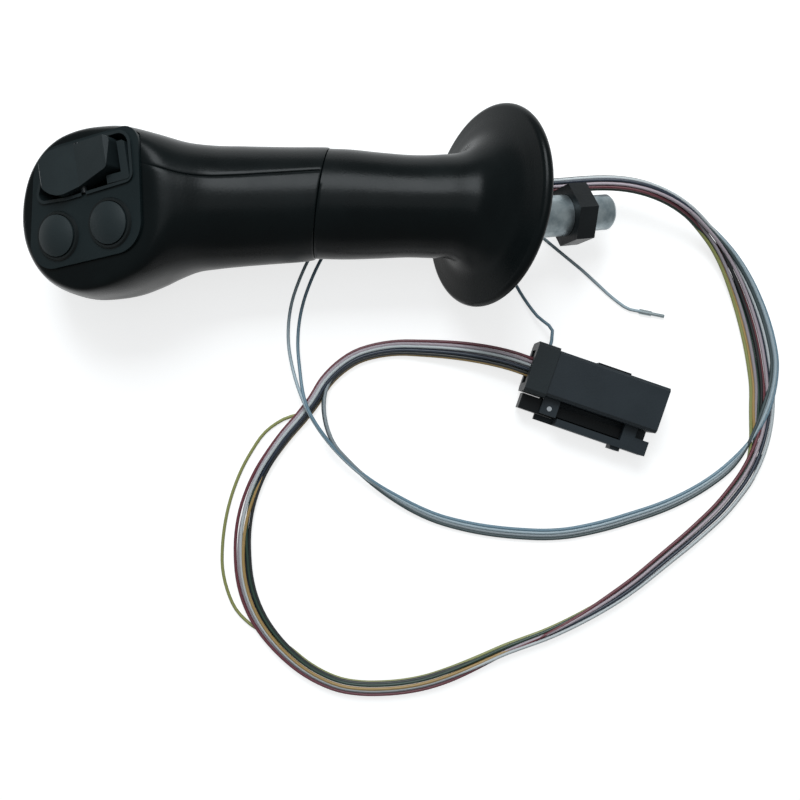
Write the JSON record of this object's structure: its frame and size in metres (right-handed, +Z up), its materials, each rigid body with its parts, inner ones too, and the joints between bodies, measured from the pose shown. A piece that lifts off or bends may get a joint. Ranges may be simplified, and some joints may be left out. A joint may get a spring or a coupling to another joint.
{
  "type": "industrial joystick grip",
  "caption": "Lever grip with a round hand rest, two thumb buttons and a rocker on an angled head, a threaded steel sleeve with lock nut, and a wire harness ending in a plug.",
  "frame": {"origin": "centre of the lever sleeve's mouth, where the lever rod screws in", "axes": "+X along the handle from the head to the lever end, +Y towards the rocker's side of the head, +Z up from the surface the handle lies on"},
  "size_m": [0.2922, 0.2382, 0.0673],
  "materials": {
    "grip_plastic": "moulded",
    "face_plastic": "moulded",
    "zinc_steel": "zinc plated",
    "black_steel": "black oxide",
    "rubber": "moulded",
    "seal_silicone": "moulded",
    "connector_plastic": "moulded",
    "contact_brass": "tin flashed",
    "board": "solder mask",
    "switch_plastic": "moulded",
    "wire_pvc": "extruded"
  },
  "bodies": {
    "handle": {"lower_grip": "grip_plastic", "shell_rocker_side": "grip_plastic", "shell_button_side": "grip_plastic", "joining_ring": "switch_plastic", "shell_screws": "zinc_steel", "base_plate": "grip_plastic", "base_screws": "zinc_steel", "lever_sleeve": "zinc_steel", "set_screws": "black_steel", "wire_grommet": "rubber", "switch_plate": "face_plastic", "rocker_bezel": "face_plastic", "rocker_pin": "zinc_steel", "rocker_switch": "switch_plastic", "button_ring_front": "face_plastic", "button_ring_rear": "face_plastic", "button_switches": "switch_plastic", "switch_board": "board", "board_screws": "zinc_steel", "inner_loom": "wire_pvc", "connector_body": "connector_plastic", "connector_cover": "connector_plastic", "connector_seal": "seal_silicone", "connector_pins": "contact_brass", "latch_pin": "zinc_steel", "crimp_pin": "contact_brass", "harness_bundle": "wire_pvc", "harness_loop": "wire_pvc", "harness_grey": "wire_pvc", "spare_wire_short": "wire_pvc", "spare_wire_long": "wire_pvc", "stray_wire": "wire_pvc"},
    "lock_nut": {"lock_nut": "black_steel"},
    "button_front": {"button_front": "face_plastic"},
    "button_rear": {"button_rear": "face_plastic"},
    "rocker": {"rocker_cap": "face_plastic"},
    "latch": {"connector_latch": "connector_plastic"},
    "contact_lock": {"connector_lock": "connector_plastic"}
  },
  "joints": [
    {"name": "lock_nut_turn", "type": "hinge", "parent": "handle", "child": "lock_nut", "pos_m": [-0.01597, 0, 0.00581], "axis": [0.9397, 0, -0.342], "continuous": true},
    {"name": "button_front_press", "type": "slide", "parent": "handle", "child": "button_front", "axis": [0.342, 0, -0.9397], "range_m": [0, 0.002], "stiffness_N_per_m": 1500},
    {"name": "button_rear_press", "type": "slide", "parent": "handle", "child": "button_rear", "axis": [0.342, 0, -0.9397], "range_m": [0, 0.002], "stiffness_N_per_m": 1500},
    {"name": "rocker_tilt", "type": "hinge", "parent": "handle", "child": "rocker", "pos_m": [-0.19621, 0.0404, 0.0335], "axis": [0, 1, 0], "range_deg": [-8, 8], "stiffness_Nm_per_rad": 0.5},
    {"name": "latch_squeeze", "type": "hinge", "parent": "handle", "child": "latch", "pos_m": [-0.03419, -0.07503, -0.01], "axis": [0, 0, 1], "range_deg": [0, 2.5], "stiffness_Nm_per_rad": 0.5},
    {"name": "contact_lock_slide", "type": "slide", "parent": "handle", "child": "contact_lock", "axis": [0.4617, 0.887, 0], "range_m": [0, 0.0014]}
  ]
}
